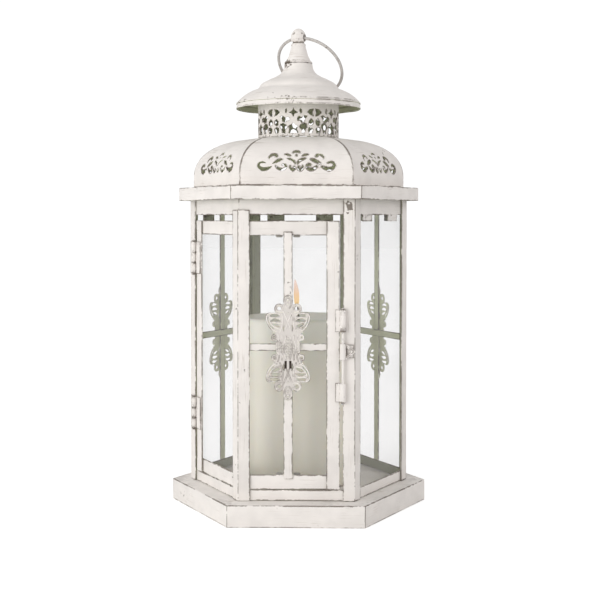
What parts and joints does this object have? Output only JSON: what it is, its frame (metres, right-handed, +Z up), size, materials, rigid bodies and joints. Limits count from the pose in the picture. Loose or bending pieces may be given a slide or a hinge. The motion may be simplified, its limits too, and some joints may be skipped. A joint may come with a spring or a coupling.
{
  "type": "candle lantern",
  "caption": "Six-sided candle lantern in distressed white sheet metal, with glass panes, hinged corner door, pierced domed roof, cap and ring handle, holding a pillar candle.",
  "frame": {"origin": "middle of the underside, on the surface the lantern stands on", "axes": "+Z up; -Y out of the front side, which is half of the door; +X to the corner post at the right"},
  "size_m": [0.1636, 0.1418, 0.305],
  "materials": {
    "body_paint": "matt white paint over sheet steel, rubbed through to brown along edges and streaked with grey-brown glaze",
    "roof_paint": "matt white paint, rubbed at seams, rims and pierced edges, grey-green in the shade under the roof",
    "hardware_paint": "white paint worn to brown where the hinges, latch and ring rub",
    "ornament_paint": "matt white paint with brown glaze in its pierced edges",
    "glass": "clear, 2 mm, with a very faint grey tint",
    "wax": "cream paraffin wax, smooth and slightly translucent",
    "wick_cotton": "burnt plaited cotton",
    "flame": "the candle's flame, a pale yellow glow in the visual model only",
    "plain_steel": "plain dull steel nut inside the cap"
  },
  "bodies": {
    "lantern": {"candle": "wax", "cap": "roof_paint", "collar": "roof_paint", "cross_bar_rear_left": "ornament_paint", "cross_bar_rear_right": "ornament_paint", "eave_band": "roof_paint", "finial_nut": "plain_steel", "frieze_band": "body_paint", "glass_front_right": "glass", "glass_rear": "glass", "glass_rear_left": "glass", "glass_rear_right": "glass", "keeper": "hardware_paint", "knob": "roof_paint", "lower_hinge_fixed_leaf": "hardware_paint", "lower_hinge_pin": "hardware_paint", "neck_sleeve": "roof_paint", "ornament_rear_left": "ornament_paint", "ornament_rear_right": "ornament_paint", "plinth": "body_paint", "post_front_right": "body_paint", "post_left": "body_paint", "post_rear_left": "body_paint", "post_rear_right": "body_paint", "post_right": "body_paint", "roof_petal_front": "roof_paint", "roof_petal_front_left": "roof_paint", "roof_petal_front_right": "roof_paint", "roof_petal_rear": "roof_paint", "roof_petal_rear_left": "roof_paint", "roof_petal_rear_right": "roof_paint", "sill_band": "body_paint", "upper_hinge_fixed_leaf": "hardware_paint", "upper_hinge_pin": "hardware_paint", "upright_bar_rear_left": "ornament_paint", "upright_bar_rear_right": "ornament_paint", "wick": "wick_cotton"},
    "door": {"door_corner_post": "body_paint", "door_cross_bar": "ornament_paint", "door_front_bottom_rail": "body_paint", "door_front_top_rail": "body_paint", "door_glass_front": "glass", "door_glass_front_left": "glass", "door_hinge_stile": "body_paint", "door_latch_stile": "body_paint", "door_ornament": "ornament_paint", "door_side_bottom_rail": "body_paint", "door_side_top_rail": "body_paint", "door_upright_bar": "ornament_paint", "latch_bracket_lower": "hardware_paint", "latch_bracket_upper": "hardware_paint", "latch_rod": "hardware_paint", "lower_hinge_door_leaf": "hardware_paint", "upper_hinge_door_leaf": "hardware_paint"},
    "hasp": {"hasp": "hardware_paint"},
    "ring": {"ring_handle": "hardware_paint"}
  },
  "joints": [
    {"name": "door_hinge", "type": "hinge", "parent": "lantern", "child": "door", "pos_m": [-0.06701, -0.00878, 0.1057], "axis": [0, 0, -1], "range_deg": [0, 115]},
    {"name": "hasp_hinge", "type": "hinge", "parent": "door", "child": "hasp", "pos_m": [0.02775, -0.06272, 0.1057], "axis": [0, 0, -1], "range_deg": [0, 150]},
    {"name": "ring_swing", "type": "hinge", "parent": "lantern", "child": "ring", "pos_m": [0, 0, 0.2988], "axis": [0.8746, -0.4848, 0], "range_deg": [0, 273]}
  ]
}
